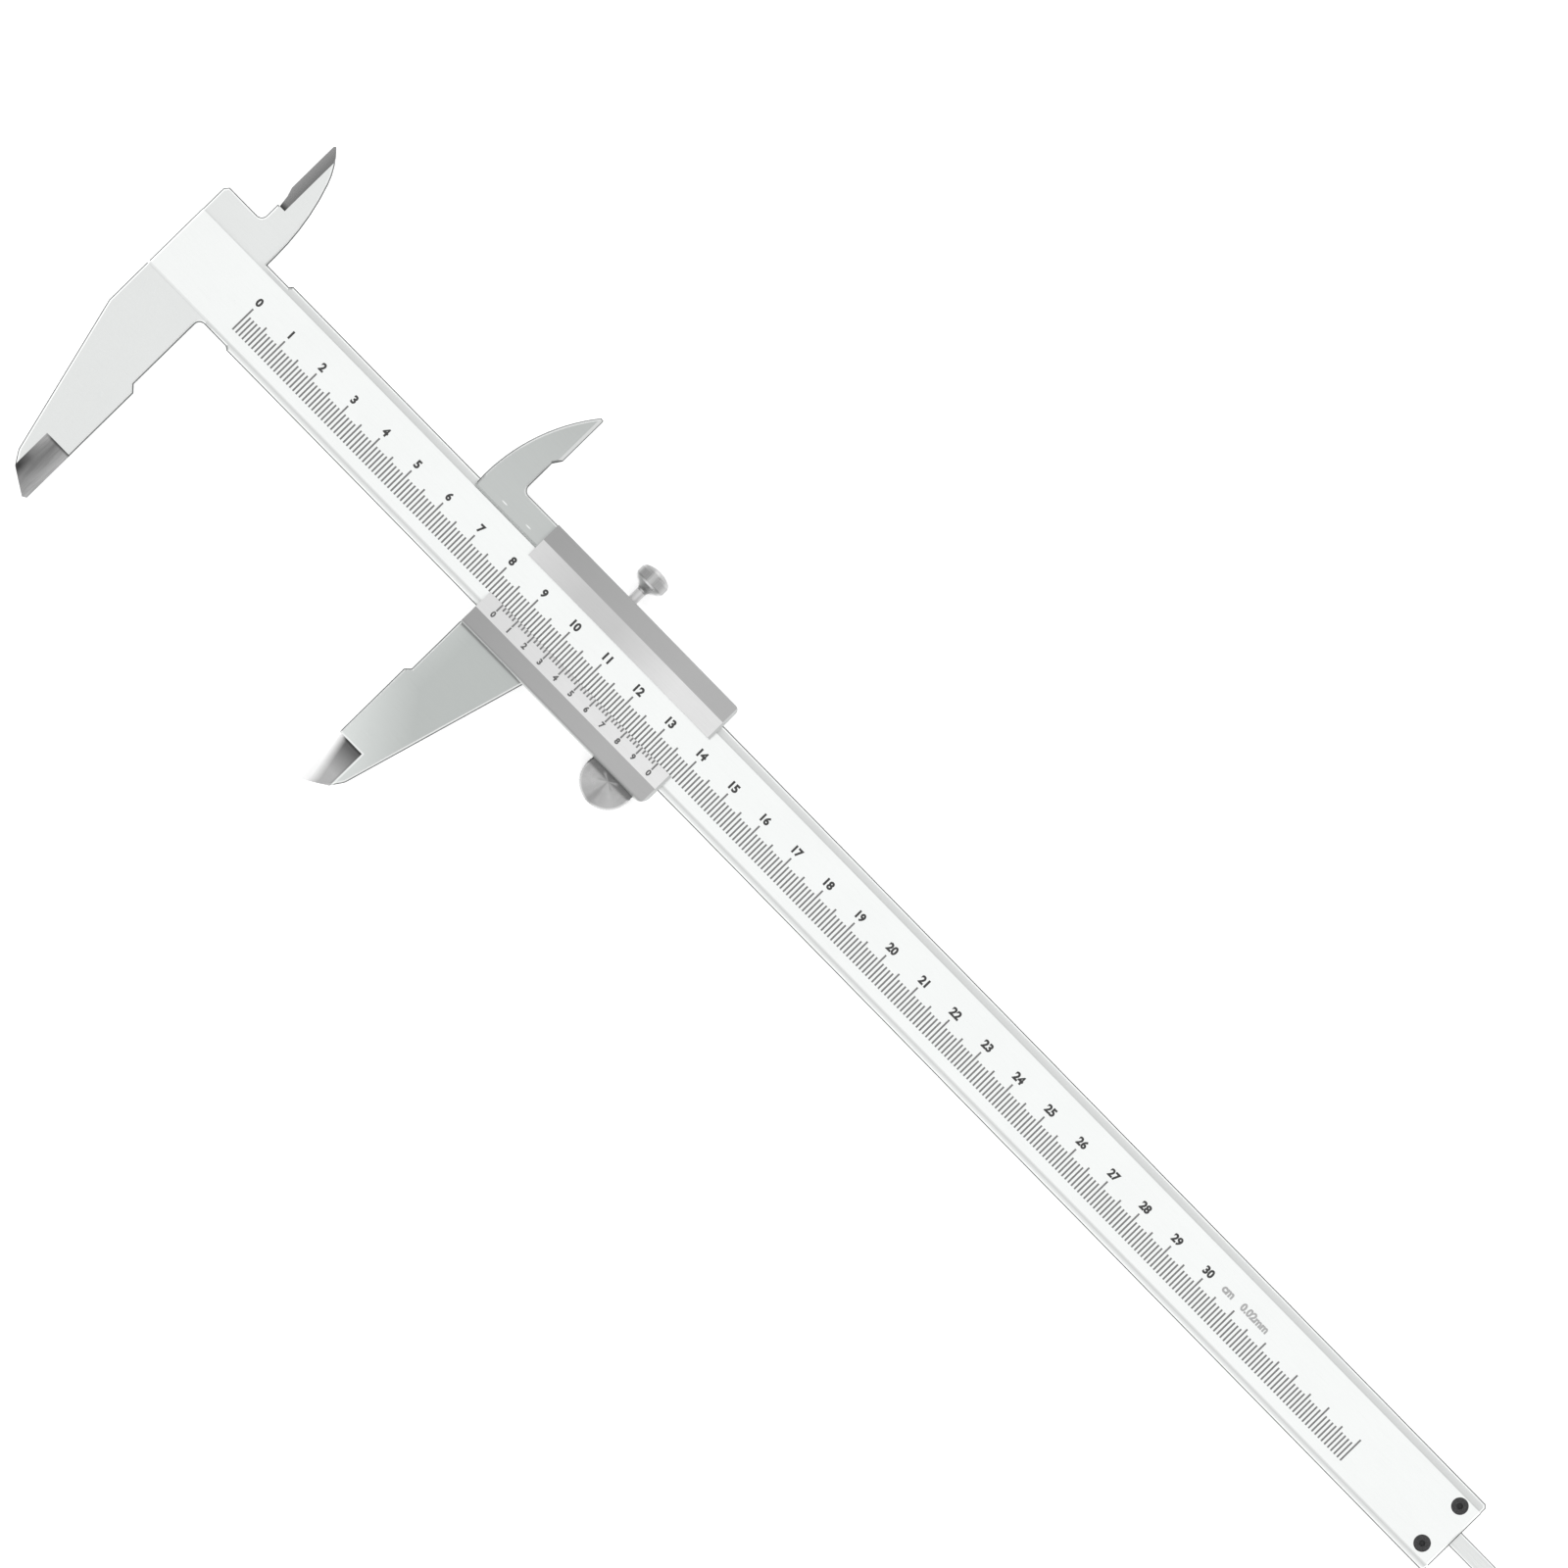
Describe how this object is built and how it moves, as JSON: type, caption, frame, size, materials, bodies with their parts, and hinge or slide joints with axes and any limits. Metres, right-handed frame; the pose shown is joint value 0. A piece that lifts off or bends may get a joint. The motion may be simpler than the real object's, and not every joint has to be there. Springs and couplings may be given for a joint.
{
  "type": "vernier caliper",
  "caption": "Long vernier caliper: graduated flat beam, outer and inner jaws, channel slider with vernier strip, lock screw, thumb roller and depth rod.",
  "frame": {"origin": "under the middle of the whole caliper, on the surface that it lies on", "axes": "+X along the beam from the fixed jaw to the free end, +Y towards the inner jaws, +Z out of the graduated face"},
  "size_m": [0.4894, 0.1039, 0.0088],
  "materials": {
    "beam_steel": "satin chrome plated, fine brushed, with engraved graduations",
    "slider_steel": "satin chrome plated, ground flats",
    "cover_steel": "brushed stainless sheet",
    "stop_steel": "brushed",
    "rod_steel": "ground stainless",
    "black_screw": "black oxide",
    "small_screw": "turned",
    "lock_screw_chrome": "turned and knurled",
    "roller_steel": "turned face, knurled rim",
    "brass": "rolled strip"
  },
  "bodies": {
    "beam": {"beam": "beam_steel", "end_stop_plate": "stop_steel", "end_screw_upper": "black_screw", "end_screw_lower": "black_screw"},
    "slider": {"slider_frame": "slider_steel", "back_cover": "cover_steel", "back_cover_screw_1": "small_screw", "back_cover_screw_2": "small_screw", "back_cover_screw_3": "small_screw", "back_cover_screw_4": "small_screw", "depth_rod": "rod_steel", "rod_rivet_1": "small_screw", "rod_rivet_2": "small_screw", "gib_screw_left": "small_screw", "gib_screw_right": "small_screw", "roller_washer": "brass", "roller_axle": "small_screw"},
    "gib": {"gib_strip": "brass"},
    "lock_screw": {"lock_screw": "lock_screw_chrome"},
    "thumb_roller": {"thumb_roller": "roller_steel"}
  },
  "joints": [
    {"name": "slider_slide", "type": "slide", "parent": "beam", "child": "slider", "axis": [1, 0, 0], "range_m": [-0.08538, 0.2333]},
    {"name": "roller_spin", "type": "hinge", "parent": "slider", "child": "thumb_roller", "pos_m": [-0.09145, -0.00345, 0.00435], "axis": [0, 0, 1], "continuous": true},
    {"name": "gib_press", "type": "slide", "parent": "slider", "child": "gib", "axis": [0, -1, 0], "range_m": [0, 0.0001125]},
    {"name": "lock_screw_turn", "type": "hinge", "parent": "gib", "child": "lock_screw", "pos_m": [-0.11635, 0.02855, 0.00395], "axis": [0, -1, 0], "range_deg": [0, 90]}
  ],
  "couplings": [
    {"joint": "roller_spin", "follows": "slider_slide", "rad_per_m": 156.25},
    {"joint": "lock_screw_turn", "follows": "gib_press", "rad_per_m": 13963}
  ]
}
